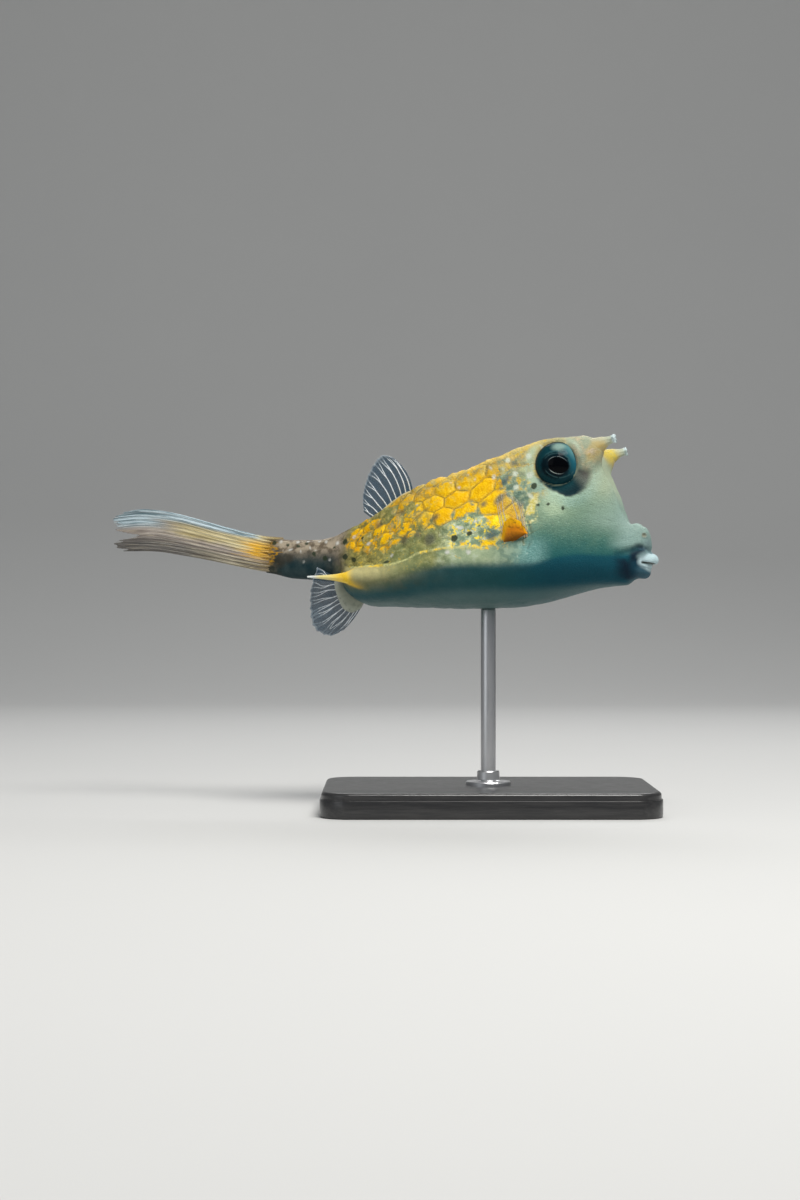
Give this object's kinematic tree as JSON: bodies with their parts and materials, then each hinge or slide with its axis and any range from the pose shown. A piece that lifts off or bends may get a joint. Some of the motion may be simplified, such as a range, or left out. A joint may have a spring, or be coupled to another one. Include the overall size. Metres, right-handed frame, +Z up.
{
  "type": "longhorn cowfish display model",
  "caption": "Still life-size longhorn cowfish, a boxfish with short horns, hexagonal yellow plates, clear fins and a long tail, swimming on a plain display stand",
  "frame": {"origin": "centre of the underside of the display base, under the fish's balance point", "axes": "+X towards the fish's snout (the fish itself is turned 14 degrees from it), +Y towards the fish's left, +Z up"},
  "size_m": [0.2204, 0.084, 0.1477],
  "materials": {
    "skin": "satin, moulded shell plates, yellow plates behind a sage head, pale belly",
    "eye": "glossy dome, dark teal iris, black pupil with a thin silver ring",
    "horn": "satin, tan and yellow base, whitish blunt tip",
    "spine": "satin, yellow with a white tip",
    "fin_clear": "clear membrane over whitish branching rays",
    "fin_pectoral": "orange lobe, clear fan with pale rays",
    "fin_caudal": "pinkish white rays, yellow at the root",
    "stand_base": "satin black lacquer",
    "stand_rod": "brushed along its length"
  },
  "bodies": {
    "root": {"head": "skin", "trunk": "skin", "tail_peduncle": "skin", "lip_upper": "skin", "lip_lower": "skin", "eye_right": "eye", "eye_left": "eye", "horn_right": "horn", "horn_left": "horn", "spine_right": "spine", "spine_left": "spine", "dorsal_fin": "fin_clear", "anal_fin": "fin_clear", "pectoral_fin_right": "fin_pectoral", "pectoral_fin_left": "fin_pectoral", "caudal_fin": "fin_caudal", "stand_base": "stand_base", "stand_rod": "stand_rod"}
  },
  "joints": []
}
